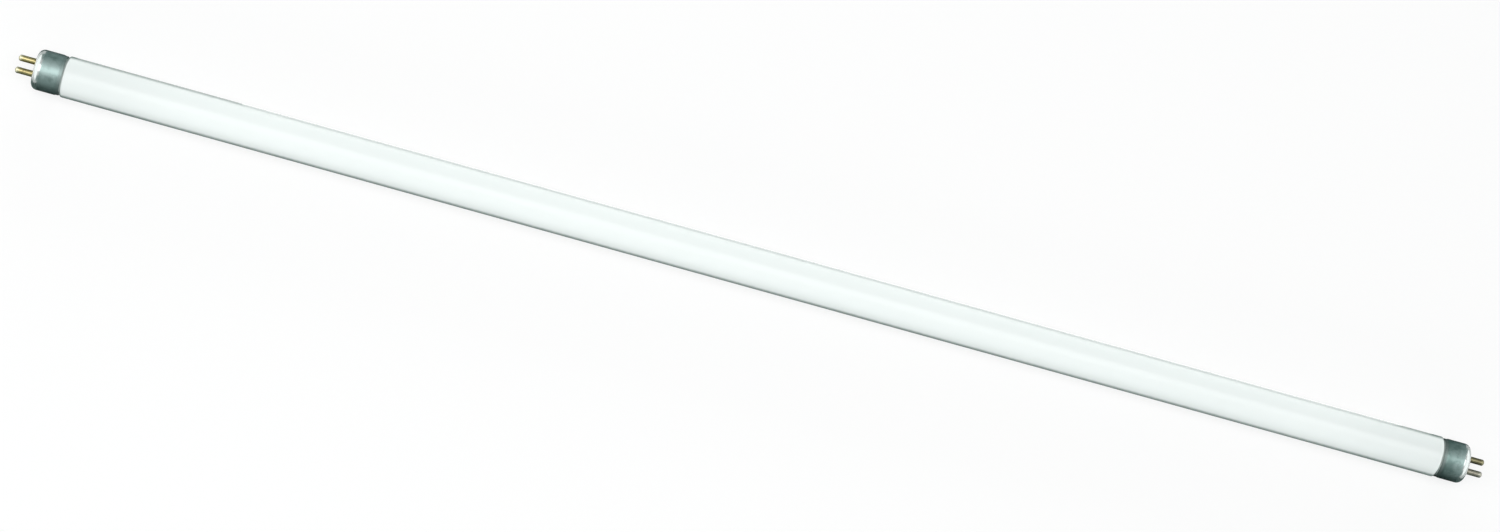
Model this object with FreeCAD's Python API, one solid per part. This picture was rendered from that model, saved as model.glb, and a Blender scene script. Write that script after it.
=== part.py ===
import FreeCAD, Part
import math
import os

# Straight fluorescent lamp: a sealed white glass tube of the 16 mm class with a two-pin cap on each end.
# Millimetres. The origin is on the lamp's axis, midway between the two cap faces. +X runs along the lamp
# to the right end, and the two pins of each end lie side by side along Y.
# Along the lamp, places at an end are depths: 0 at the cap's outer face, growing towards the middle.

# The lamp as a whole
face_to_face = 549.0
pin_spacing = 4.75

# Sealed glass tube
tube_diameter = 15.4
rim_gap = 0.2             # bare neck between the cap's rim and the foot of the glass shoulder
glass_shoulder_length = 0.75
glass_shoulder_round = 0.75
glass_foot_round = 0.4
lip_width = 1.6           # fused lip that joins the neck to the stem's flare
lip_round = 0.65
flare_depth = 9.0
flare_floor_diameter = 5.2
exhaust_diameter = 2.6
exhaust_length = 8.2
exhaust_tip_round = 1.1

# Drawn aluminium cap shell
cap_inset = 0.15          # the shell's wall lies this much inside the tube's outer surface
cap_length = 10.6
cap_wall = 0.3
cap_shoulder_radius = 2.4
face_opening_diameter = 9.0
crimp_depth = 0.2
crimp_slope_length = 0.7
crimp_land_length = 0.9   # straight rim that grips the neck
crimp_blend_radius = 1.2
neck_clearance = 0.15     # between the rolled-in rim and the neck of the glass

# Insulator plate
insulator_thickness = 2.5
insulator_clearance = 0.05
boss_recess = 0.15        # the boss sits this far behind the cap's face
boss_edge_chamfer = 0.12

# Capping cement
cement_length = 3.4
cement_setback = 0.2      # clear of the rolled rim

# Hollow brass pins
pin_diameter = 2.35
pin_length = 6.6
pin_wall = 0.35
pin_tip_round = 0.75
shank_diameter = 2.8      # a press fit in the insulator, flush with the boss
flange_diameter = 3.8
flange_thickness = 0.4

# Lead wires
lead_diameter = 0.5
lead_hole_clearance = 0.05
weld_diameter = 0.85
weld_height = 0.2
stem_gap = 1.3            # from the pins' flanges to the glass lip
lead_stem_run = 4.5       # straight out of the stem, before the bend towards the pin
lead_bend_run = 3.0
lead_bend_radius = 3.0

# Worked out from the sizes above
tube_radius = tube_diameter / 2
cap_radius = tube_radius - cap_inset
cup_radius = cap_radius - cap_wall
neck_radius = cup_radius - crimp_depth - neck_clearance
opening_radius = face_opening_diameter / 2
crimp_end = cap_length - crimp_land_length
crimp_start = crimp_end - crimp_slope_length
glass_foot_depth = cap_length + rim_gap
plate_back = cap_wall + insulator_thickness
flange_back = plate_back + flange_thickness
glass_end_depth = flange_back + stem_gap
flare_floor_depth = glass_end_depth + flare_depth
pin_radius = pin_diameter / 2
shank_radius = shank_diameter / 2
lead_radius = lead_diameter / 2
pin_offset = pin_spacing / 2
stem_lead_offset = (exhaust_diameter + flare_floor_diameter) / 4

ENDS = {"left": -1, "right": 1}
ROWS = {"front": -1, "rear": 1}
AXIS = FreeCAD.Vector(1, 0, 0)
FULL_TURN = 360
NO_TURN = 1e-6            # corners flatter than this, in radians, stay plain
SAME_PLACE = 1e-6


def along(end, depth):
    """Place along the lamp of a depth behind the cap face of that end."""
    return end * (face_to_face / 2 - depth)


def rounded_path(corners, closed):
    """Edges through corners, each (x, y, rounding), with tangent arcs where the rounding isn't 0."""
    points = [FreeCAD.Vector(x, y, 0) for x, y, _ in corners]
    count = len(points)
    pieces = []
    for i, (point, corner) in enumerate(zip(points, corners)):
        rounding = corner[2]
        inner = closed or 0 < i < count - 1
        if inner and rounding > 0:
            back = (points[i - 1] - point).normalize()
            ahead = (points[(i + 1) % count] - point).normalize()
            opening = back.getAngle(ahead)
            if math.pi - opening > NO_TURN:
                reach = rounding / math.tan(opening / 2)
                inward = (back + ahead).normalize()
                centre = point + inward * (rounding / math.sin(opening / 2))
                pieces.append((point + back * reach, centre - inward * rounding, point + ahead * reach))
                continue
        pieces.append((point, None, point))
    edges = []
    for i, (start, middle, finish) in enumerate(pieces):
        if middle is not None:
            edges.append(Part.Arc(start, middle, finish).toShape())
        if closed or i < count - 1:
            following = pieces[(i + 1) % count][0]
            if not finish.isEqual(following, SAME_PLACE):
                edges.append(Part.LineSegment(finish, following).toShape())
    return Part.Wire(edges)


def turned(corners, row_offset=0):
    """Solid turned from a closed outline of corners about the lamp's axis, or about a pin's axis."""
    section = Part.Face(rounded_path(corners, closed=True))
    solid = section.revolve(FreeCAD.Vector(0, 0, 0), AXIS, FULL_TURN)
    solid.translate(FreeCAD.Vector(0, row_offset, 0))
    return solid


def cylinder(end, radius, front, back, row_offset=0):
    """Plain cylinder between two depths at one end of the lamp."""
    corners = [
        (along(end, front), 0, 0),
        (along(end, front), radius, 0),
        (along(end, back), radius, 0),
        (along(end, back), 0, 0),
    ]
    return turned(corners, row_offset)


def glass_end_corners(end):
    """Outline of one end of the glass, from the body inwards to the exhaust tip on the axis."""
    shoulder_depth = glass_foot_depth + glass_shoulder_length
    exhaust_radius = exhaust_diameter / 2
    tip_depth = flare_floor_depth - exhaust_length
    return [
        (along(end, shoulder_depth), tube_radius, glass_shoulder_round),
        (along(end, glass_foot_depth), neck_radius, glass_foot_round),
        (along(end, glass_end_depth), neck_radius, lip_round),
        (along(end, glass_end_depth), neck_radius - lip_width, lip_round),
        (along(end, flare_floor_depth), flare_floor_diameter / 2, 0),
        (along(end, flare_floor_depth), exhaust_radius, 0),
        (along(end, tip_depth), exhaust_radius, exhaust_tip_round),
        (along(end, tip_depth), 0, 0),
    ]


def glass_tube():
    """The sealed tube: drawn-in necks, and at each end the stem's open flare round its sealed exhaust tip."""
    left = glass_end_corners(ENDS["left"])
    right = glass_end_corners(ENDS["right"])
    return turned(left[::-1] + right)


def cap_shell(end):
    """Drawn cup with a rounded shoulder, a punched opening in its face and its rim rolled in to the neck."""
    corners = [
        (along(end, 0), opening_radius, 0),
        (along(end, 0), cap_radius, cap_shoulder_radius),
        (along(end, crimp_start), cap_radius, crimp_blend_radius),
        (along(end, crimp_end), cap_radius - crimp_depth, crimp_blend_radius),
        (along(end, cap_length), cap_radius - crimp_depth, 0),
        (along(end, cap_length), cup_radius - crimp_depth, 0),
        (along(end, crimp_end), cup_radius - crimp_depth, crimp_blend_radius + cap_wall),
        (along(end, crimp_start), cup_radius, crimp_blend_radius - cap_wall),
        (along(end, cap_wall), cup_radius, cap_shoulder_radius - cap_wall),
        (along(end, cap_wall), opening_radius, 0),
    ]
    return turned(corners)


def insulator(end):
    """Moulded plate behind the cap's face, chamfered to clear the cup's shoulder, with a boss in the opening."""
    plate_radius = cup_radius - insulator_clearance
    boss_radius = opening_radius - insulator_clearance
    plate_chamfer = cap_shoulder_radius - cap_wall
    body = turned([
        (along(end, boss_recess), 0, 0),
        (along(end, boss_recess), boss_radius - boss_edge_chamfer, 0),
        (along(end, boss_recess + boss_edge_chamfer), boss_radius, 0),
        (along(end, cap_wall), boss_radius, 0),
        (along(end, cap_wall), plate_radius - plate_chamfer, 0),
        (along(end, cap_wall + plate_chamfer), plate_radius, 0),
        (along(end, plate_back), plate_radius, 0),
        (along(end, plate_back), 0, 0),
    ])
    for row in ROWS.values():
        body = body.cut(cylinder(end, shank_radius, boss_recess, plate_back, row * pin_offset))
    return body


def cement_ring(end):
    """Cured cement between the glass neck and the cap shell, clear of the rolled rim."""
    back = crimp_start - cement_setback
    front = back - cement_length
    return turned([
        (along(end, front), neck_radius, 0),
        (along(end, front), cup_radius, 0),
        (along(end, back), cup_radius, 0),
        (along(end, back), neck_radius, 0),
    ])


def pin(end, row):
    """Hollow pin with a rounded tip, a thicker shank pressed into the insulator, and a flange behind it."""
    bore_radius = pin_radius - pin_wall
    bore_taper = pin_tip_round - pin_wall
    tip_hole_radius = lead_radius + lead_hole_clearance
    tip = -pin_length
    corners = [
        (along(end, tip), tip_hole_radius, 0),
        (along(end, tip), pin_radius, pin_tip_round),
        (along(end, boss_recess), pin_radius, 0),
        (along(end, boss_recess), shank_radius, 0),
        (along(end, plate_back), shank_radius, 0),
        (along(end, plate_back), flange_diameter / 2, 0),
        (along(end, flange_back), flange_diameter / 2, 0),
        (along(end, flange_back), bore_radius, 0),
        (along(end, tip + pin_tip_round), bore_radius, 0),
        (along(end, tip + pin_wall), bore_radius - bore_taper, 0),
        (along(end, tip + pin_wall), tip_hole_radius, 0),
    ]
    return turned(corners, row * pin_offset)


def weld_bead(end, row):
    """Low dome of metal over the hole in the pin's tip, melted from the end of the lead wire."""
    radius = weld_diameter / 2
    sphere_radius = (radius ** 2 + weld_height ** 2) / (2 * weld_height)
    half_angle = math.asin(radius / sphere_radius) / 2
    centre_depth = -pin_length - weld_height + sphere_radius
    edge = FreeCAD.Vector(along(end, -pin_length), radius, 0)
    middle_depth = centre_depth - sphere_radius * math.cos(half_angle)
    middle = FreeCAD.Vector(along(end, middle_depth), sphere_radius * math.sin(half_angle), 0)
    top = FreeCAD.Vector(along(end, -pin_length - weld_height), 0, 0)
    foot = FreeCAD.Vector(along(end, -pin_length), 0, 0)
    outline = Part.Wire([
        Part.LineSegment(foot, edge).toShape(),
        Part.Arc(edge, middle, top).toShape(),
        Part.LineSegment(top, foot).toShape(),
    ])
    bead = Part.Face(outline).revolve(FreeCAD.Vector(0, 0, 0), AXIS, FULL_TURN)
    bead.translate(FreeCAD.Vector(0, row * pin_offset, 0))
    return bead


def lead_wire(end, row):
    """Round wire from the floor of the glass flare, through the hollow pin, to the weld at its tip."""
    bend_start = flare_floor_depth - lead_stem_run
    stem_y = row * stem_lead_offset
    pin_y = row * pin_offset
    route = rounded_path([
        (along(end, flare_floor_depth), stem_y, 0),
        (along(end, bend_start), stem_y, lead_bend_radius),
        (along(end, bend_start - lead_bend_run), pin_y, lead_bend_radius),
        (along(end, -pin_length), pin_y, 0),
    ], closed=False)
    foot = FreeCAD.Vector(along(end, flare_floor_depth), stem_y, 0)
    section = Part.Wire([Part.Circle(foot, AXIS, lead_radius).toShape()])
    wire = route.makePipeShell([section], True, False)
    expected = math.pi * lead_radius ** 2 * route.Length
    print("lead wire: volume is %.4f of section times length" % (wire.Volume / expected))
    return wire.fuse(weld_bead(end, row)).removeSplitter()


def export(name, shape):
    """Writes one node as a STEP file, after checking that it is one sound solid."""
    solid = shape.Solids[0]
    if len(shape.Solids) != 1 or not solid.isValid():
        raise ValueError(name + " is not one valid solid")
    solid.exportStep("parts/" + name + ".step")
    print("%-20s %10.3f mm3" % (name, solid.Volume))


def main():
    os.makedirs("parts", exist_ok=True)
    export("glass_tube", glass_tube())
    for end_name, end in ENDS.items():
        export(end_name + "_cap_shell", cap_shell(end))
        export(end_name + "_insulator", insulator(end))
        export(end_name + "_cement_ring", cement_ring(end))
        for row_name, row in ROWS.items():
            export("%s_%s_pin" % (end_name, row_name), pin(end, row))
            export("%s_%s_lead" % (end_name, row_name), lead_wire(end, row))


main()
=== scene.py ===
# Straight fluorescent lamp of the 16 mm class: a sealed white glass tube with an aluminium cap and two brass
# pins at each end. +X runs along the lamp, +Y across it in the plane of the pins, and +Z up. The pieces'
# sizes are in millimetres, and a depth is measured from a cap's outer face towards the lamp's middle. The
# studio's and the camera's places are in metres.
import math

import bmesh
import bpy
from mathutils import Matrix, Vector


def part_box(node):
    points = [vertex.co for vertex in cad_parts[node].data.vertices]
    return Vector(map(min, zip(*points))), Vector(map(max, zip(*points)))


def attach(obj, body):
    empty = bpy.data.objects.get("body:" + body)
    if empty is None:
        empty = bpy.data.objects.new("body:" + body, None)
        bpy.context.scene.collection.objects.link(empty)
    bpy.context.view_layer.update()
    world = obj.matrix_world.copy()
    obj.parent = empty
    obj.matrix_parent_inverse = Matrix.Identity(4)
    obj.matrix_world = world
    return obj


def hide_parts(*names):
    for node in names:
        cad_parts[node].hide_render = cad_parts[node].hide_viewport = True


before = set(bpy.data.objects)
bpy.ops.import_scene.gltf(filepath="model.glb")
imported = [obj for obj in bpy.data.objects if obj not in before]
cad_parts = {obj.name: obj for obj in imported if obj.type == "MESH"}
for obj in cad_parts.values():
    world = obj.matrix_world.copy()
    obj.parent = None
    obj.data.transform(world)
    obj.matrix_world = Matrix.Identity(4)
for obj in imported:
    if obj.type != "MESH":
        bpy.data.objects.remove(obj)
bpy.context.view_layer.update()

# The sealed glass tube
# A length of drawn glass with white powder on its inner wall, necked down at both ends for the caps. Each
# neck is fused to a flare that stands inside it and carries the lead wires and the sealed exhaust tip.
MM = 0.001
ENDS = {"left": -1, "right": 1}
half_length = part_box("right_cap_shell")[1].x / MM
tube_radius = 7.7
neck_radius = 6.9
glass_foot_depth = 10.8
glass_shoulder_length = 0.75
glass_shoulder_round = 0.75
neck_root_round = 0.4
glass_end_depth = 4.5
lip_width = 1.6
lip_round = 0.65
flare_floor_depth = 13.5
flare_floor_radius = 2.6
exhaust_radius = 1.3
exhaust_tip_depth = 5.3
exhaust_tip_round = 1.1
GLASS_STEPS = 128
GLASS_RING_SPACING = 5.0
ROUNDING_STEP = math.radians(7)
GUARD_RING = 0.12         # a ring this close to a rounding keeps the straight wall's shading straight
LEAST_RUN = 0.6
CREASE_ANGLE = math.radians(32)
WELD_DISTANCE = 0.0005


def along(end, depth):
    """Place along the lamp of a depth behind the cap face of that end."""
    return end * (half_length - depth)


def rounding_points(before, corner, after, rounding):
    """Points of the arc that rounds one corner of an outline, or the corner alone where it stays sharp."""
    back = (before - corner).normalized()
    ahead = (after - corner).normalized()
    opening = back.angle(ahead)
    if rounding == 0 or math.pi - opening < ROUNDING_STEP / 4:
        return [corner]
    centre = corner + (back + ahead).normalized() * (rounding / math.sin(opening / 2))
    start = corner + back * (rounding / math.tan(opening / 2)) - centre
    turn = math.copysign(math.pi - opening, ahead.x * back.y - ahead.y * back.x)
    steps = max(3, math.ceil(abs(turn) / ROUNDING_STEP))
    return [centre + Matrix.Rotation(turn * i / steps, 2) @ start for i in range(steps + 1)]


def run_points(start, finish, spacing):
    """Rings between the two ends of a straight run: one close to each end, the others evenly spaced."""
    length = (finish - start).length
    if length < LEAST_RUN:
        return []
    parts = math.ceil((length - 2 * GUARD_RING) / spacing)
    share = (length - 2 * GUARD_RING) / parts
    places = [GUARD_RING + share * i for i in range(parts + 1)]
    return [start.lerp(finish, place / length) for place in places]


def turned_outline(end, corners, closed, spacing):
    """Outline of a turned piece as points (x, radius), from its corners (depth, radius, rounding)."""
    places = [Vector((along(end, depth), radius)) for depth, radius, _ in corners]
    last = len(places) - 1
    arcs = []
    for i, place in enumerate(places):
        if closed or 0 < i < last:
            after = places[(i + 1) % len(places)]
            arcs.append(rounding_points(places[i - 1], place, after, corners[i][2]))
        else:
            arcs.append([place])
    points = []
    for i, arc in enumerate(arcs):
        points += arc
        if closed or i < last:
            points += run_points(arc[-1], arcs[(i + 1) % len(arcs)][0], spacing)
    if closed:
        points.append(points[0])
    return points


class Signal:
    """An output of a node. A sum written with it adds Math nodes to the same board."""

    def __init__(self, board, output):
        self.board = board
        self.output = output

    def __add__(self, other):
        return self.board.maths("ADD", self, other)

    def __sub__(self, other):
        return self.board.maths("SUBTRACT", self, other)

    def __rsub__(self, other):
        return self.board.maths("SUBTRACT", other, self)

    def __mul__(self, other):
        return self.board.maths("MULTIPLY", self, other)

    def __truediv__(self, other):
        return self.board.maths("DIVIDE", self, other)

    __radd__ = __add__
    __rmul__ = __mul__


class Board:
    """A node tree, of a finish or of a shape, that calls and sums fill in."""

    def __init__(self, tree):
        self.tree = tree

    def feed(self, socket, value):
        if isinstance(value, Signal):
            self.tree.links.new(value.output, socket)
        else:
            socket.default_value = value

    def node(self, kind, settings=None, sockets=None, take=None):
        """Adds a node, first its settings and then its inputs' values or signals, and gives one output."""
        node = self.tree.nodes.new(kind)
        for setting, value in (settings or {}).items():
            setattr(node, setting, value)
        for name, value in (sockets or {}).items():
            socket = next(s for s in node.inputs if s.enabled and name in (s.identifier, s.name))
            self.feed(socket, value)
        outputs = [s for s in node.outputs if s.enabled and take in (None, s.identifier, s.name)]
        return Signal(self, outputs[0]) if outputs else None

    def maths(self, operation, *values):
        node = self.tree.nodes.new("ShaderNodeMath")
        node.operation = operation
        for socket, value in zip(node.inputs, values):
            self.feed(socket, value)
        return Signal(self, node.outputs[0])


def shape_tree(name, inputs):
    """Empty Geometry Nodes tree with named inputs: its board, its input signals and their identifiers."""
    tree = bpy.data.node_groups.new(name, "GeometryNodeTree")
    tree.interface.new_socket("Piece", in_out="OUTPUT", socket_type="NodeSocketGeometry")
    identifiers = {}
    for label, kind in inputs.items():
        item = tree.interface.new_socket(label, in_out="INPUT", socket_type=kind)
        identifiers[label] = item.identifier
    board = Board(tree)
    signals = {label: board.node("NodeGroupInput", take=label) for label in inputs}
    return board, signals, identifiers


def finish_shape(board, mesh, material):
    """Last nodes of every shape: smooth walls with sharp creases, real geometry, and the piece's material."""
    angle = board.node("GeometryNodeInputMeshEdgeAngle", take="Unsigned Angle")
    crease = board.node("FunctionNodeCompare", {"operation": "GREATER_THAN"}, {"A": angle, "B": CREASE_ANGLE})
    smooth = board.node(
        "GeometryNodeSetShadeSmooth", {"domain": "FACE"}, {"Geometry": mesh, "Shade Smooth": True}
    )
    creased = board.node(
        "GeometryNodeSetShadeSmooth",
        {"domain": "EDGE"},
        {"Geometry": smooth, "Selection": crease, "Shade Smooth": False},
    )
    real = board.node("GeometryNodeRealizeInstances", None, {"Geometry": creased})
    painted = board.node("GeometryNodeSetMaterial", None, {"Geometry": real, "Material": material})
    board.node("NodeGroupOutput", None, {"Piece": painted})


def build_turning_tree():
    """Tree that turns a piece from its outline, the object's own points (x, radius), about a given axis."""
    board, given, identifiers = shape_tree("Turned piece", {
        "Outline": "NodeSocketGeometry",
        "Steps round": "NodeSocketInt",
        "Axis offset": "NodeSocketFloat",
        "Finish": "NodeSocketMaterial",
    })
    rings = board.node("GeometryNodeAttributeDomainSize", None, {"Geometry": given["Outline"]}, "Point Count")
    columns = given["Steps round"] + 1
    sheet = board.node("GeometryNodeMeshGrid", None, {"Vertices X": rings, "Vertices Y": columns}, "Mesh")
    index = board.node("GeometryNodeInputIndex")
    # The added half keeps the first point of a ring from falling to the ring before it
    ring = board.maths("FLOOR", (index + 0.5) / columns)
    turn = (index - ring * columns) / given["Steps round"] * (2 * math.pi)
    point = board.node(
        "GeometryNodeSampleIndex",
        {"data_type": "FLOAT_VECTOR", "domain": "POINT"},
        {"Geometry": given["Outline"], "Value": board.node("GeometryNodeInputPosition"), "Index": ring},
    )
    x = board.node("ShaderNodeSeparateXYZ", None, {"Vector": point}, "X")
    radius = board.node("ShaderNodeSeparateXYZ", None, {"Vector": point}, "Y")
    place = board.node("ShaderNodeCombineXYZ", None, {
        "X": x,
        "Y": radius * board.maths("COSINE", turn) + given["Axis offset"],
        "Z": radius * board.maths("SINE", turn),
    })
    turned = board.node("GeometryNodeSetPosition", None, {"Geometry": sheet, "Position": place})
    closed = board.node("GeometryNodeMergeByDistance", None, {
        "Geometry": turned,
        "Distance": WELD_DISTANCE * MM,
    })
    finish_shape(board, closed, given["Finish"])
    return board.tree, identifiers


def made_by(tree_and_identifiers, name, seed_mesh, values):
    """Piece that a tree makes from a seed mesh, as a plain mesh with its faces turned outwards."""
    tree, identifiers = tree_and_identifiers
    piece = bpy.data.objects.new(name, seed_mesh)
    bpy.context.scene.collection.objects.link(piece)
    maker = piece.modifiers.new("Making", "NODES")
    maker.node_group = tree
    for label, value in values.items():
        maker[identifiers[label]] = value
    made = piece.evaluated_get(bpy.context.evaluated_depsgraph_get())
    piece.data = bpy.data.meshes.new_from_object(made)
    piece.data.name = name
    piece.modifiers.clear()
    bpy.data.meshes.remove(seed_mesh)
    shape = bmesh.new()
    shape.from_mesh(piece.data)
    bmesh.ops.recalc_face_normals(shape, faces=shape.faces)
    shape.to_mesh(piece.data)
    shape.free()
    return piece


turning_tree = build_turning_tree()


def turned_piece(name, points, finish, steps, row_offset=0.0):
    """Piece turned from an outline about the lamp's axis, or about a pin's axis beside it."""
    seed_mesh = bpy.data.meshes.new(name + "_outline")
    seed_mesh.from_pydata([(point.x * MM, point.y * MM, 0) for point in points], [], [])
    values = {"Steps round": steps, "Axis offset": row_offset * MM, "Finish": finish}
    return made_by(turning_tree, name, seed_mesh, values)


def hand_over(piece, material_slot, *nodes):
    """Puts a finished piece in the place of its CAD nodes."""
    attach(piece, "root")
    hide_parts(*nodes)


def new_finish(name):
    """Empty material and the board of its nodes."""
    material = bpy.data.materials.new(name)
    material.use_nodes = True
    material.node_tree.nodes.clear()
    return material, Board(material.node_tree)


def stretched(board, scale):
    """Place on the piece, stretched so that a pattern has its own size along X and across."""
    place = board.node("ShaderNodeTexCoord", take="Object")
    return board.node("ShaderNodeMapping", None, {"Vector": place, "Scale": scale})


def speckle(board, scale, size, detail=3.0, roughness=0.5):
    """Soft irregular pattern from 0 to 1 whose spots are about 1/size across."""
    return board.node(
        "ShaderNodeTexNoise",
        None,
        {"Vector": stretched(board, scale), "Scale": size, "Detail": detail, "Roughness": roughness},
        "Fac",
    )


def share_between(board, value, low, high):
    """Share from 0 to 1 that a value has gone from low to high, with soft ends."""
    return board.node(
        "ShaderNodeMapRange",
        {"interpolation_type": "SMOOTHSTEP"},
        {"Value": value, "From Min": low, "From Max": high, "To Min": 0.0, "To Max": 1.0},
        "Result",
    )


def blend_colour(board, share, first, second):
    return board.node(
        "ShaderNodeMix", {"data_type": "RGBA"}, {"Factor": share, "A": first, "B": second}, "Result"
    )


def distance_from_middle(board):
    """How far along the lamp a place is from its middle, in metres."""
    place = board.node("ShaderNodeTexCoord", take="Object")
    x = board.node("ShaderNodeSeparateXYZ", None, {"Vector": place}, "X")
    return board.maths("ABSOLUTE", x)


def share_between_depths(board, reach, start, finish):
    """Share from 0 to 1 between two depths behind the cap faces, of a distance from the lamp's middle."""
    return share_between(board, reach, low=(half_length - start) * MM, high=(half_length - finish) * MM)


def relief(board, height, strength, distance):
    """Fine relief for a surface's Normal, with its full height in metres."""
    return board.node("ShaderNodeBump", None, {"Strength": strength, "Distance": distance, "Height": height})


def coated_glass_finish():
    """Clear gloss over white powder: faintly cloudy, bare at the neck, with painted shade towards the caps,
    and darker edge on, partly the wall's own green-grey and partly painted shade.
    """
    end_shade_start = 69.5
    end_shade_end = 12.5
    powder_fade = 0.65
    powder_white = (0.90, 0.94, 0.93, 1)
    thin_powder = (0.86, 0.905, 0.895, 1)
    end_painted_shade = (0.81, 0.85, 0.84, 1)
    bare_glass = (0.42, 0.48, 0.46, 1)
    glass_edge_and_shade = (0.37, 0.43, 0.41, 1)
    end_glass_edge_and_shade = (0.25, 0.31, 0.29, 1)
    material, board = new_finish("coated_glass")
    cloudiness = speckle(board, (18, 90, 90), size=1.0, detail=4.0)
    clouds = share_between(board, cloudiness, low=0.35, high=0.7)
    grains = speckle(board, (1, 1, 1), size=2600.0, detail=2.0)
    powder = blend_colour(board, clouds * 0.3 + grains * 0.14, powder_white, thin_powder)
    reach = distance_from_middle(board)
    # Greyer towards the caps: painted shade, standing for the light falling off at the lamp's ends.
    near_cap_shade = share_between_depths(board, reach, end_shade_start, end_shade_end)
    end_shaded = blend_colour(board, near_cap_shade * 0.75, powder, end_painted_shade)
    past_shoulder = share_between_depths(board, reach, glass_foot_depth + powder_fade, glass_foot_depth)
    coated = blend_colour(board, past_shoulder, end_shaded, bare_glass)
    # Darker green-grey where the tube is seen edge on: partly the glass wall's own tint, partly painted shade
    # along the tube's edges, darker still near the caps.
    facing = board.node("ShaderNodeLayerWeight", None, {"Blend": 0.5}, "Facing")
    edge = blend_colour(board, near_cap_shade, glass_edge_and_shade, end_glass_edge_and_shade)
    edge_on = share_between(board, facing, low=0.45, high=0.72)
    colour = blend_colour(board, edge_on, coated, edge)
    smearing = speckle(board, (40, 160, 160), size=1.0, detail=5.0, roughness=0.6)
    smears = share_between(board, smearing, low=0.4, high=0.75)
    draw_waves = speckle(board, (12, 260, 260), size=1.0, detail=2.0)
    glass = board.node("ShaderNodeBsdfPrincipled", None, {
        "Base Color": colour,
        "Roughness": smears * 0.1 + 0.13,
        "IOR": 1.5,
        "Specular IOR Level": 0.3,
        "Normal": relief(board, draw_waves, strength=0.25, distance=0.00002),
    })
    board.node("ShaderNodeOutputMaterial", None, {"Surface": glass})
    return material


# From the body inwards to the exhaust tip on the axis
glass_end = [
    (glass_foot_depth + glass_shoulder_length, tube_radius, glass_shoulder_round),
    (glass_foot_depth, neck_radius, neck_root_round),
    (glass_end_depth, neck_radius, lip_round),
    (glass_end_depth, neck_radius - lip_width, lip_round),
    (flare_floor_depth, flare_floor_radius, 0),
    (flare_floor_depth, exhaust_radius, 0),
    (exhaust_tip_depth, exhaust_radius, exhaust_tip_round),
    (exhaust_tip_depth, 0, 0),
]
far_end = [(2 * half_length - depth, radius, rounding) for depth, radius, rounding in glass_end]
both_ends = glass_end[::-1] + far_end
glass_outline = turned_outline(ENDS["left"], both_ends, closed=False, spacing=GLASS_RING_SPACING)
tube = turned_piece("coated_glass_tube", glass_outline, coated_glass_finish(), GLASS_STEPS)
hand_over(tube, "coated_glass", "glass_tube")

# The cap shells
# A cup drawn from thin aluminium sheet, with a round shoulder and an opening punched in its face, shoulder
# and face in a brighter metal colour as a painted highlight. Its rim is rolled in to grip the neck of the
# glass, and dull where the roller bit.
cap_radius = 7.55
cap_wall = 0.3
cap_length = 10.6
cap_shoulder_radius = 2.4
face_opening_radius = 4.5
crimp_depth = 0.2
crimp_start = 9.0
crimp_end = 9.7
crimp_blend_radius = 1.2
punched_edge_round = 0.06
cup_radius = cap_radius - cap_wall
CAP_STEPS = 128
CAP_RING_SPACING = 1.5


def drawn_aluminium_finish(name, end_darkening, dullness):
    """Drawn aluminium: satin wall with oxide, darkened by a given amount, shoulder and face in a brighter
    metal colour as a painted highlight, dull rim.
    """
    # The depths between which each finish changes towards the face
    darkening_thins = (9.5, 3.0)
    highlight_starts = (2.9, 2.4)
    face_highlight_grows = (1.1, 0.4)
    rim_ends = (9.9, 9.1)
    wall_metal = (0.233, 0.300, 0.291, 1)
    oxide = (0.105, 0.155, 0.145, 1)
    shoulder_painted_highlight = (0.44, 0.475, 0.465, 1)
    face_painted_highlight = (0.78, 0.80, 0.79, 1)
    rolled_dull = (0.13, 0.15, 0.145, 1)
    material, board = new_finish(name)
    draw_marks = speckle(board, (60, 5200, 5200), size=1.0, detail=3.0, roughness=0.6)
    broad_marks = speckle(board, (25, 900, 900), size=1.0, detail=3.0)
    cloudiness = speckle(board, (1, 1, 1), size=330.0, detail=4.0, roughness=0.6)
    clouds = share_between(board, cloudiness, low=0.42, high=0.72)
    reach = distance_from_middle(board)
    towards_face = share_between_depths(board, reach, *darkening_thins)
    # A given darkening of the whole wall, less towards the face, on top of the oxide patches.
    patches_and_darkening = clouds * 0.6 + broad_marks * 0.25 + end_darkening * (1 - towards_face * 0.75)
    patchy_and_darkened = blend_colour(board, patches_and_darkening, wall_metal, oxide)
    shoulder = share_between_depths(board, reach, *highlight_starts)
    outer_turn = share_between_depths(board, reach, *face_highlight_grows)
    rim = 1 - share_between_depths(board, reach, *rim_ends)
    scratched = relief(board, draw_marks * 0.7 + broad_marks * 0.5, strength=0.35, distance=0.00001)
    satin_wall = board.node("ShaderNodeBsdfPrincipled", None, {
        "Base Color": blend_colour(board, rim * dullness, patchy_and_darkened, rolled_dull),
        "Metallic": 1.0,
        "Roughness": 0.40 + draw_marks * 0.08 + rim * 0.08,
        # The near-black specular tint darkens the wall's reflection where it is seen edge on: painted shade
        # at its edges.
        "Specular Tint": (0.02, 0.04, 0.04, 1),
        "Normal": scratched,
    })
    # Shoulder and face in a brighter metal colour: a painted highlight.
    painted_highlight_shoulder = board.node("ShaderNodeBsdfPrincipled", None, {
        "Base Color": blend_colour(board, outer_turn, shoulder_painted_highlight, face_painted_highlight),
        "Metallic": 1.0,
        "Roughness": 0.16 + draw_marks * 0.1,
        "Normal": scratched,
    })
    metal = board.node(
        "ShaderNodeMixShader", None, {"Fac": shoulder, "Shader": satin_wall, "Shader_001": painted_highlight_shoulder}
    )
    board.node("ShaderNodeOutputMaterial", None, {"Surface": metal})
    return material


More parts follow.
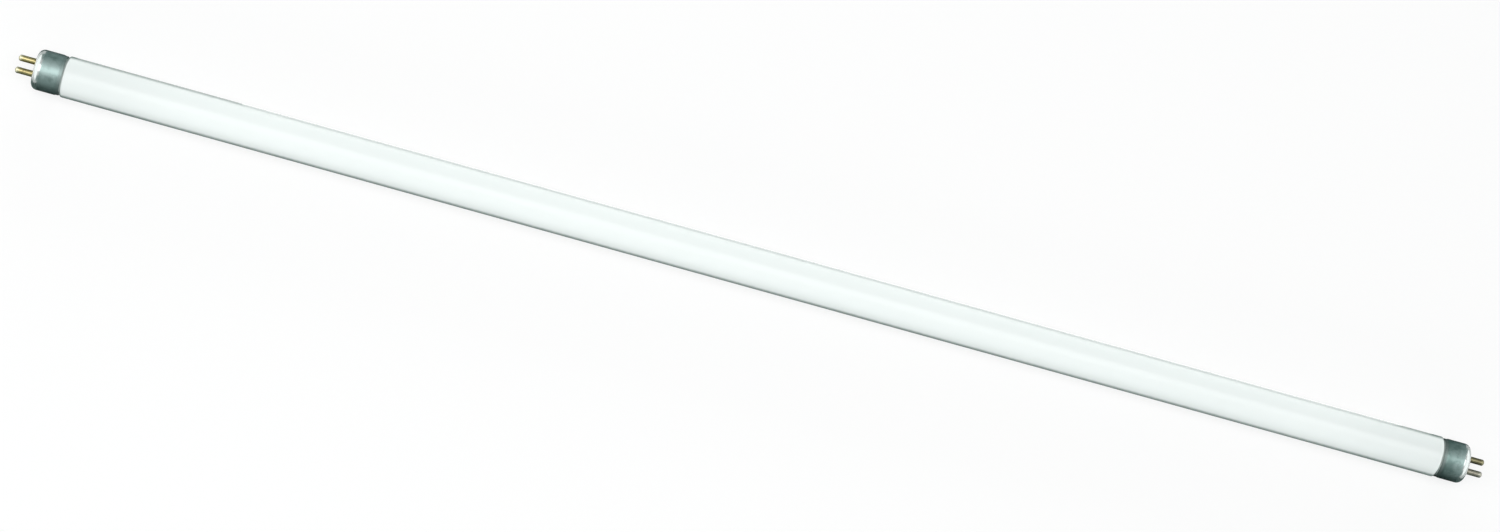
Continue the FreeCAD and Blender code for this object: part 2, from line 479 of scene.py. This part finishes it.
cap_corners = [
    (0, face_opening_radius, punched_edge_round),
    (0, cap_radius, cap_shoulder_radius),
    (crimp_start, cap_radius, crimp_blend_radius),
    (crimp_end, cap_radius - crimp_depth, crimp_blend_radius),
    (cap_length, cap_radius - crimp_depth, punched_edge_round),
    (cap_length, cup_radius - crimp_depth, punched_edge_round),
    (crimp_end, cup_radius - crimp_depth, crimp_blend_radius + cap_wall),
    (crimp_start, cup_radius, crimp_blend_radius - cap_wall),
    (cap_wall, cup_radius, cap_shoulder_radius - cap_wall),
    (cap_wall, face_opening_radius, punched_edge_round),
]
# The right cap's wall is darker than the left's.
cap_darkening = {"left": 0.0, "right": 0.7}
rim_dullness = {"left": 0.35, "right": 0.65}
for end_name, end in ENDS.items():
    finish_name = end_name + "_cap_aluminium"
    drawn_aluminium = drawn_aluminium_finish(finish_name, cap_darkening[end_name], rim_dullness[end_name])
    cap_outline = turned_outline(end, cap_corners, closed=True, spacing=CAP_RING_SPACING)
    shell = turned_piece(end_name + "_drawn_cap", cap_outline, drawn_aluminium, CAP_STEPS)
    hand_over(shell, "cap_aluminium", end_name + "_cap_shell")

# The insulating plates
# A moulded disc behind each cap's face, chamfered to clear the cup's shoulder. Its boss fills the opening,
# and two holes through it hold the pins clear of the metal.
insulator_clearance = 0.05
boss_recess = 0.15
boss_edge_round = 0.12
plate_back = 2.8
pin_offset = 2.375
pin_hole_radius = 1.4
drill_length = 8.0
PLATE_STEPS = 90
PLATE_RING_SPACING = 6.0
HOLE_STEPS = 64
SLIVER_LENGTH = 0.004


def moulded_plate_finish():
    """Matte off-white moulding with the fine mottle of its filler."""
    moulding = (0.66, 0.66, 0.62, 1)
    filler = (0.50, 0.49, 0.45, 1)
    material, board = new_finish("moulded_insulator")
    mottle = speckle(board, (1, 1, 1), size=1400.0, detail=4.0, roughness=0.65)
    flecks = share_between(board, mottle, low=0.52, high=0.68)
    plastic = board.node("ShaderNodeBsdfPrincipled", None, {
        "Base Color": blend_colour(board, flecks * 0.6, moulding, filler),
        "Roughness": 0.5 + mottle * 0.2,
        "Normal": relief(board, mottle, strength=0.4, distance=0.00002),
    })
    board.node("ShaderNodeOutputMaterial", None, {"Surface": plastic})
    return material


def build_drilling_tree():
    """Tree that drills two holes, side by side and along X, through the object's own mesh."""
    board, given, identifiers = shape_tree("Drilled plate", {
        "Plate": "NodeSocketGeometry",
        "Hole radius": "NodeSocketFloat",
        "Drill length": "NodeSocketFloat",
        "Row offset": "NodeSocketFloat",
        "Place along": "NodeSocketFloat",
        "Steps round": "NodeSocketInt",
        "Finish": "NodeSocketMaterial",
    })
    row_ends = [
        board.node("ShaderNodeCombineXYZ", None, {"X": given["Place along"], "Y": given["Row offset"] * side})
        for side in (-1, 1)
    ]
    centres = board.node(
        "GeometryNodeMeshLine",
        {"mode": "END_POINTS"},
        {"Count": 2, "Start Location": row_ends[0], "Offset": row_ends[1]},
    )
    drill = board.node("GeometryNodeMeshCylinder", None, {
        "Vertices": given["Steps round"],
        "Radius": given["Hole radius"],
        "Depth": given["Drill length"],
    }, "Mesh")
    drills = board.node("GeometryNodeInstanceOnPoints", None, {
        "Points": centres,
        "Instance": drill,
        "Rotation": (0, math.pi / 2, 0),
    })
    solid_drills = board.node("GeometryNodeRealizeInstances", None, {"Geometry": drills})
    drilled = board.node(
        "GeometryNodeMeshBoolean",
        {"operation": "DIFFERENCE"},
        {"Mesh 1": given["Plate"], "Mesh 2": solid_drills},
        "Mesh",
    )
    clean = board.node("GeometryNodeMergeByDistance", None, {
        "Geometry": drilled,
        "Distance": SLIVER_LENGTH * MM,
    })
    finish_shape(board, clean, given["Finish"])
    return board.tree, identifiers


drilling_tree = build_drilling_tree()
plate_radius = cup_radius - insulator_clearance
boss_radius = face_opening_radius - insulator_clearance
plate_chamfer = cap_shoulder_radius - cap_wall
plate_corners = [
    (boss_recess, 0, 0),
    (boss_recess, boss_radius, boss_edge_round),
    (cap_wall, boss_radius, 0),
    (cap_wall, plate_radius - plate_chamfer, 0),
    (cap_wall + plate_chamfer, plate_radius, 0),
    (plate_back, plate_radius, 0),
    (plate_back, 0, 0),
]
moulded_plate = moulded_plate_finish()
for end_name, end in ENDS.items():
    plate_outline = turned_outline(end, plate_corners, closed=False, spacing=PLATE_RING_SPACING)
    blank = turned_piece(end_name + "_plate_blank", plate_outline, moulded_plate, PLATE_STEPS)
    blank_mesh = blank.data
    bpy.data.objects.remove(blank)
    plate = made_by(drilling_tree, end_name + "_insulating_plate", blank_mesh, {
        "Hole radius": pin_hole_radius * MM,
        "Drill length": drill_length * MM,
        "Row offset": pin_offset * MM,
        "Place along": along(end, plate_back / 2) * MM,
        "Steps round": HOLE_STEPS,
        "Finish": moulded_plate,
    })
    hand_over(plate, "insulator", end_name + "_insulator")

# The contact pins
# A hollow brass pin with a round tip, turned and drawn, its thicker shank pressed into the plate and its
# flange seated behind it. The left pins' tips are paler, partly rubbed and partly a painted highlight, and
# the right ones are darker all over, the front one grey and the rear one brown.
ROWS = {"front": -1, "rear": 1}
pin_radius = 1.175
pin_length = 6.6
pin_wall = 0.35
pin_tip_round = 0.75
shank_radius = pin_hole_radius
flange_radius = 1.9
flange_thickness = 0.4
tip_hole_radius = 0.3
pale_tip_start = 1.8           # distance from the tip at which the paler part, rubbed and a painted highlight, begins
pale_tip_full = 0.6            # and from which it is pale all over
PIN_STEPS = HOLE_STEPS
PIN_RING_SPACING = 0.8


def brass_finish(name, bright_brass, tarnish, pale_tip_and_highlight):
    """Drawn brass with fine turning lines, patches of tarnish and a paler tip, partly rubbed and partly a
    painted highlight.
    """
    material, board = new_finish(name)
    turning_lines = speckle(board, (9000, 300, 300), size=1.0, detail=2.0)
    patchiness = speckle(board, (1, 1, 1), size=620.0, detail=4.0, roughness=0.65)
    patches = share_between(board, patchiness, low=0.42, high=0.7)
    reach = distance_from_middle(board)
    # Paler towards the tip: partly rubbed, partly a painted highlight.
    at_tip = share_between_depths(board, reach, pale_tip_start - pin_length, pale_tip_full - pin_length)
    worn = blend_colour(board, patches, bright_brass, tarnish)
    metal = board.node("ShaderNodeBsdfPrincipled", None, {
        "Base Color": blend_colour(board, at_tip, worn, pale_tip_and_highlight),
        "Metallic": 1.0,
        "Roughness": 0.26 + patches * 0.12 + turning_lines * 0.06,
        # The near-black specular tint darkens the reflection where the pin is seen edge on: painted shade at
        # its edges.
        "Specular Tint": (0.05, 0.05, 0.03, 1),
        "Normal": relief(board, turning_lines, strength=0.3, distance=0.00001),
    })
    board.node("ShaderNodeOutputMaterial", None, {"Surface": metal})
    return material


bore_radius = pin_radius - pin_wall
bore_taper = pin_tip_round - pin_wall
flange_back = plate_back + flange_thickness
pin_corners = [
    (-pin_length, tip_hole_radius, 0),
    (-pin_length, pin_radius, pin_tip_round),
    (boss_recess, pin_radius, 0),
    (boss_recess, shank_radius, 0),
    (plate_back, shank_radius, 0),
    (plate_back, flange_radius, 0),
    (flange_back, flange_radius, 0),
    (flange_back, bore_radius, 0),
    (-pin_length + pin_tip_round, bore_radius, 0),
    (-pin_length + pin_wall, bore_radius - bore_taper, 0),
    (-pin_length + pin_wall, tip_hole_radius, 0),
]
clean_brass = brass_finish(
    "pin_brass",
    bright_brass=(0.36, 0.315, 0.155, 1),
    tarnish=(0.18, 0.15, 0.07, 1),
    pale_tip_and_highlight=(0.50, 0.48, 0.33, 1),
)
browned_brass = brass_finish(
    "browned_pin_brass",
    bright_brass=(0.14, 0.13, 0.075, 1),
    tarnish=(0.085, 0.075, 0.045, 1),
    pale_tip_and_highlight=(0.185, 0.175, 0.105, 1),
)
greyed_brass = brass_finish(
    "greyed_pin_brass",
    bright_brass=(0.23, 0.225, 0.18, 1),
    tarnish=(0.15, 0.14, 0.115, 1),
    pale_tip_and_highlight=(0.28, 0.28, 0.24, 1),
)
pin_brass = {
    ("left", "front"): clean_brass,
    ("left", "rear"): clean_brass,
    ("right", "front"): greyed_brass,
    ("right", "rear"): browned_brass,
}
for end_name, end in ENDS.items():
    for row_name, row in ROWS.items():
        pin_outline = turned_outline(end, pin_corners, closed=True, spacing=PIN_RING_SPACING)
        pin_name = "%s_%s_contact" % (end_name, row_name)
        pin = turned_piece(pin_name, pin_outline, pin_brass[end_name, row_name], PIN_STEPS, row * pin_offset)
        hand_over(pin, "pin_brass", "%s_%s_pin" % (end_name, row_name))

# The capping cement
# A ring of cement between the neck of the glass and the inside of each cap, clear of the rolled rim. It is
# put into the cap as a paste and baked hard once the cap is on the glass.
cement_front = 5.4
cement_back = 8.8


def cement_finish():
    """Baked cement: rough, tan-grey and grainy."""
    tan_grey = (0.30, 0.26, 0.21, 1)
    pale_grain = (0.50, 0.45, 0.38, 1)
    material, board = new_finish("capping_cement")
    grain = speckle(board, (1, 1, 1), size=900.0, detail=6.0, roughness=0.7)
    cement = board.node("ShaderNodeBsdfPrincipled", None, {
        "Base Color": blend_colour(board, grain, tan_grey, pale_grain),
        "Roughness": 0.8 + grain * 0.2,
        "Normal": relief(board, grain, strength=0.8, distance=0.00008),
    })
    board.node("ShaderNodeOutputMaterial", None, {"Surface": cement})
    return material


cement_corners = [
    (cement_front, neck_radius, 0),
    (cement_front, cup_radius, 0),
    (cement_back, cup_radius, 0),
    (cement_back, neck_radius, 0),
]
baked_cement = cement_finish()
for end_name, end in ENDS.items():
    cement_outline = turned_outline(end, cement_corners, closed=True, spacing=CAP_RING_SPACING)
    cement = turned_piece(end_name + "_cement_bed", cement_outline, baked_cement, PLATE_STEPS)
    hand_over(cement, "cement", end_name + "_cement_ring")

# The lead wires
# A round wire from the floor of the glass flare through each hollow pin. Its end is melted over the hole in
# the pin's tip, which leaves a low bead of weld metal there.
lead_radius = 0.25
stem_lead_offset = 1.95
bend_start = 9.0
bend_end = 6.0
bend_radius = 3.0
weld_radius = 0.425
weld_height = 0.2
LEAD_STEPS = 20
BEND_STEPS = 10
WELD_STEPS = 40
WELD_DOME_STEPS = 8


def build_wire_tree():
    """Tree that draws a round wire along the object's own points, with the given bend at its corners."""
    board, given, identifiers = shape_tree("Bent wire", {
        "Route": "NodeSocketGeometry",
        "Wire radius": "NodeSocketFloat",
        "Bend radius": "NodeSocketFloat",
        "Steps round": "NodeSocketInt",
        "Finish": "NodeSocketMaterial",
    })
    route = board.node("GeometryNodeMeshToCurve", None, {"Mesh": given["Route"]})
    bent = board.node("GeometryNodeFilletCurve", {"mode": "POLY"}, {
        "Curve": route,
        "Count": BEND_STEPS,
        "Radius": given["Bend radius"],
        "Limit Radius": True,
    })
    section = board.node(
        "GeometryNodeCurvePrimitiveCircle",
        {"mode": "RADIUS"},
        {"Resolution": given["Steps round"], "Radius": given["Wire radius"]},
        "Curve",
    )
    wire = board.node(
        "GeometryNodeCurveToMesh", None, {"Curve": bent, "Profile Curve": section, "Fill Caps": True}
    )
    finish_shape(board, wire, given["Finish"])
    return board.tree, identifiers


def wire_finish(name, pale_metal, dark_metal, grains_per_metre):
    """Dull plated metal with a fine grain."""
    material, board = new_finish(name)
    grain = speckle(board, (1, 1, 1), size=grains_per_metre, detail=4.0, roughness=0.6)
    darkened = share_between(board, grain, low=0.35, high=0.7)
    metal = board.node("ShaderNodeBsdfPrincipled", None, {
        "Base Color": blend_colour(board, darkened, pale_metal, dark_metal),
        "Metallic": 1.0,
        "Roughness": 0.28 + grain * 0.15,
        "Normal": relief(board, grain, strength=0.5, distance=0.00002),
    })
    board.node("ShaderNodeOutputMaterial", None, {"Surface": metal})
    return material


def weld_outline(end):
    """Outline of the low dome over a pin's tip, from its rim to its top."""
    sphere_radius = (weld_radius ** 2 + weld_height ** 2) / (2 * weld_height)
    half_angle = math.asin(weld_radius / sphere_radius)
    foot = Vector((along(end, -pin_length), 0))
    dome = []
    for i in range(WELD_DOME_STEPS + 1):
        angle = half_angle * (1 - i / WELD_DOME_STEPS)
        rise = sphere_radius * math.cos(angle) - sphere_radius + weld_height
        dome.append(Vector((along(end, -pin_length - rise), sphere_radius * math.sin(angle))))
    return [foot] + dome


wire_tree = build_wire_tree()
lead_metal = wire_finish(
    "lead_wire",
    pale_metal=(0.52, 0.51, 0.48, 1),
    dark_metal=(0.33, 0.32, 0.30, 1),
    grains_per_metre=2500.0,
)
weld_metal = wire_finish(
    "weld_metal",
    pale_metal=(0.72, 0.68, 0.50, 1),
    dark_metal=(0.45, 0.42, 0.30, 1),
    grains_per_metre=4000.0,
)
for end_name, end in ENDS.items():
    for row_name, row in ROWS.items():
        stem_y = row * stem_lead_offset * MM
        pin_y = row * pin_offset * MM
        route_points = [
            (along(end, flare_floor_depth) * MM, stem_y, 0),
            (along(end, bend_start) * MM, stem_y, 0),
            (along(end, bend_end) * MM, pin_y, 0),
            (along(end, -pin_length) * MM, pin_y, 0),
        ]
        lead_name = "%s_%s_lead" % (end_name, row_name)
        route_mesh = bpy.data.meshes.new(lead_name + "_route")
        route_mesh.from_pydata(route_points, [(0, 1), (1, 2), (2, 3)], [])
        lead = made_by(wire_tree, lead_name + "_in_wire", route_mesh, {
            "Wire radius": lead_radius * MM,
            "Bend radius": bend_radius * MM,
            "Steps round": LEAD_STEPS,
            "Finish": lead_metal,
        })
        hand_over(lead, "lead_wire", lead_name)
        weld_name = "%s_%s_weld" % (end_name, row_name)
        weld = turned_piece(weld_name, weld_outline(end), weld_metal, WELD_STEPS, row * pin_offset)
        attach(weld, "root")

# The studio
# The lamp lies on a white floor in a white room, under one long soft light and with a low soft light on each
# of its four sides. Cards that the camera doesn't see, four upright and four lying close to the lamp, are
# there for its metal and glass to mirror: the three dark ones lying on the floor are a painted shadow of the
# lamp, and the white one lying behind it is painted light where the floor is in the lamp's shadow.
floor_reach = 12.0
floor_height = -tube_radius * MM


def seen_directly(board):
    """1 where the camera, a glossy surface or clear glass looks, 0 for the light that a surface gathers."""
    looks = [
        board.node("ShaderNodeLightPath", take="Is %s Ray" % kind)
        for kind in ("Camera", "Glossy", "Transmission")
    ]
    return board.maths("MAXIMUM", board.maths("MAXIMUM", looks[0], looks[1]), looks[2])


def pale_floor_finish():
    """White floor with the lamp's shadow: faint to the camera, full where the lamp mirrors the floor."""
    white = (0.97, 0.97, 0.97, 1)
    bounce = (0.20, 0.225, 0.22, 1)
    kept_shadow = 0.2
    shadow_reach = 0.3
    plain_reach = 0.8
    material, board = new_finish("pale_floor")
    place = board.node("ShaderNodeTexCoord", take="Object")
    distance = board.node("ShaderNodeVectorMath", {"operation": "LENGTH"}, {"Vector": place}, "Value")
    far_off = share_between(board, distance, low=shadow_reach, high=plain_reach)
    to_camera = board.node("ShaderNodeLightPath", take="Is Camera Ray")
    plain = far_off + (1 - far_off) * to_camera * (1 - kept_shadow)
    seen = seen_directly(board)
    matte = board.node("ShaderNodeBsdfDiffuse", None, {"Color": blend_colour(board, seen, bounce, white)})
    glow = board.node("ShaderNodeEmission", None, {"Color": (1, 1, 1, 1), "Strength": 1.0})
    mixed = board.node(
        "ShaderNodeMixShader", None, {"Fac": seen * plain, "Shader": matte, "Shader_001": glow}
    )
    board.node("ShaderNodeOutputMaterial", None, {"Surface": mixed})
    return material


floor_mesh = bpy.data.meshes.new("floor")
floor_mesh.from_pydata(
    [(x * floor_reach, y * floor_reach, floor_height) for x, y in ((-1, -1), (1, -1), (1, 1), (-1, 1))],
    [],
    [(0, 1, 2, 3)],
)
floor_mesh.materials.append(pale_floor_finish())
floor = bpy.data.objects.new("floor", floor_mesh)
bpy.context.scene.collection.objects.link(floor)


def soft_light(name, place, aim, width, depth, power):
    """Rectangular soft light at a place, turned to face another, its width level."""
    lamp = bpy.data.lights.new(name, "AREA")
    lamp.shape = "RECTANGLE"
    lamp.size = width
    lamp.size_y = depth
    lamp.energy = power
    light = bpy.data.objects.new(name, lamp)
    bpy.context.scene.collection.objects.link(light)
    light.location = place
    light.rotation_euler = (Vector(aim) - Vector(place)).to_track_quat("-Z", "Y").to_euler()
    return light


soft_light("long_soft_light", (-0.16, -0.11, 0.85), (-0.16, -0.11, 0), width=1.5, depth=0.52, power=7.3)
low_lights = [
    soft_light("low_rear_light", (0.12, 0.9, 0.15), (0.12, 0, 0), width=1.6, depth=0.3, power=6.3),
    soft_light("low_front_light", (0, -0.9, 0.2), (0, 0, 0), width=1.6, depth=0.3, power=4.6),
    soft_light("low_left_light", (-1.2, 0, 0.12), (0, 0, 0), width=0.8, depth=0.2, power=4.0),
    soft_light("low_right_light", (1.2, 0, 0.12), (0, 0, 0), width=0.8, depth=0.2, power=4.0),
]
for low_light in low_lights:
    low_light.visible_glossy = False


def mirrored_card(name, foot_start, foot_end, rise, glow):
    """Card with an even glow that only mirroring surfaces see, from its foot on the floor up by a rise."""
    foot = [Vector((*foot_start, floor_height)), Vector((*foot_end, floor_height))]
    corners = foot + [foot[1] + Vector(rise), foot[0] + Vector(rise)]
    card_mesh = bpy.data.meshes.new(name)
    card_mesh.from_pydata(corners, [], [(0, 1, 2, 3)])
    material, board = new_finish(name)
    shine = board.node("ShaderNodeEmission", None, {"Color": glow, "Strength": 1.0})
    board.node("ShaderNodeOutputMaterial", None, {"Surface": shine})
    card_mesh.materials.append(material)
    card = bpy.data.objects.new(name, card_mesh)
    bpy.context.scene.collection.objects.link(card)
    card.visible_camera = False
    card.visible_diffuse = False
    card.visible_shadow = False


dim_teal = (0.40, 0.51, 0.49, 1)
painted_shadow_teal = (0.12, 0.17, 0.16, 1)
bright_white = (2.1, 2.1, 2.1, 1)
painted_light_white = (2.0, 2.0, 2.0, 1)
side_place = 0.9          # the upright cards beside the lamp stand this far from its axis
side_reach = 0.75
end_place = 0.8           # and those past its ends this far from its middle
tall = (0, 0, 0.91)
less_tall = (0, 0, 0.71)
mirrored_card("rear_card", (-side_reach, side_place), (side_reach, side_place), tall, dim_teal)
mirrored_card("front_card", (-side_reach, -side_place), (side_reach, -side_place), less_tall, dim_teal)
mirrored_card("left_card", (-end_place, -side_place), (-end_place, side_place), tall, bright_white)
mirrored_card("right_card", (end_place, -side_place), (end_place, side_place), tall, bright_white)
above_floor = 0.0002      # keeps a card that lies down clear of the floor
# A dark card lying in front of the lamp: a painted shadow of the lamp on the floor, seen only in mirror
# images.
mirrored_card(
    "low_front_shadow_card",
    foot_start=(-0.290, -0.2),
    foot_end=(0.288, -0.2),
    rise=(0, 0.196, above_floor),
    glow=painted_shadow_teal,
)
# A white card lying behind the lamp: painted light over the floor where it lies in the lamp's shadow, seen
# only in mirror images.
mirrored_card(
    "low_rear_card",
    foot_start=(-0.2, 0.036),
    foot_end=(0.25, 0.036),
    rise=(0, -0.027, above_floor),
    glow=painted_light_white,
)
# Dark cards lying behind each cap's end: a painted shadow on the floor there, seen only in mirror images.
cap_shadow_card_foot = 0.024
cap_shadow_card_inner_reach = 0.262
cap_shadow_card_outer_reach = {"left": 0.284, "right": 0.280}
for end_name, end in ENDS.items():
    mirrored_card(
        end_name + "_low_rear_card",
        foot_start=(end * cap_shadow_card_inner_reach, cap_shadow_card_foot),
        foot_end=(end * cap_shadow_card_outer_reach[end_name], cap_shadow_card_foot),
        rise=(0, -0.018, above_floor),
        glow=painted_shadow_teal,
    )

world = bpy.data.worlds.new("white_room")
world.use_nodes = True
world.node_tree.nodes.clear()
room = Board(world.node_tree)
room_light = (0.12, 0.14, 0.135, 1)
seen_white = (1, 1, 1, 1)
air = room.node("ShaderNodeBackground", None, {
    "Color": blend_colour(room, seen_directly(room), room_light, seen_white),
    "Strength": 1.0,
})
room.node("ShaderNodeOutputWorld", None, {"Surface": air})
bpy.context.scene.world = world

# The camera
# Placed as the photograph was taken: high in front of the lamp and a little to its left, rolled so that the
# lamp falls to the right. The photograph's frame is 1500 by 532 pixels.
frame_width = 1500
azimuth = math.radians(-15.25)
elevation = math.radians(73.37)
roll = math.radians(30.13)
camera_distance = 1.39
focal_pixels = 3769.0
centre_right = 11.05      # the lamp's centre lies this many pixels right of the frame's centre
centre_below = 3.32
sensor_width = 36.0

towards_camera = Vector((
    math.cos(elevation) * math.sin(azimuth),
    -math.cos(elevation) * math.cos(azimuth),
    math.sin(elevation),
))
level_right = (-towards_camera).cross(Vector((0, 0, 1))).normalized()
level_up = level_right.cross(-towards_camera)
frame_right = level_right * math.cos(roll) + level_up * math.sin(roll)
frame_up = level_up * math.cos(roll) - level_right * math.sin(roll)
metres_per_pixel = camera_distance / focal_pixels
aim = frame_up * (centre_below * metres_per_pixel) - frame_right * (centre_right * metres_per_pixel)
camera_data = bpy.data.cameras.new("photo_camera")
camera_data.sensor_fit = "HORIZONTAL"
camera_data.sensor_width = sensor_width
camera_data.lens = focal_pixels / frame_width * sensor_width
camera = bpy.data.objects.new("photo_camera", camera_data)
bpy.context.scene.collection.objects.link(camera)
turning = Matrix((frame_right, frame_up, towards_camera)).transposed()
camera.matrix_world = Matrix.Translation(aim + towards_camera * camera_distance) @ turning.to_4x4()
bpy.context.scene.camera = camera
bpy.context.scene.view_settings.view_transform = "Standard"
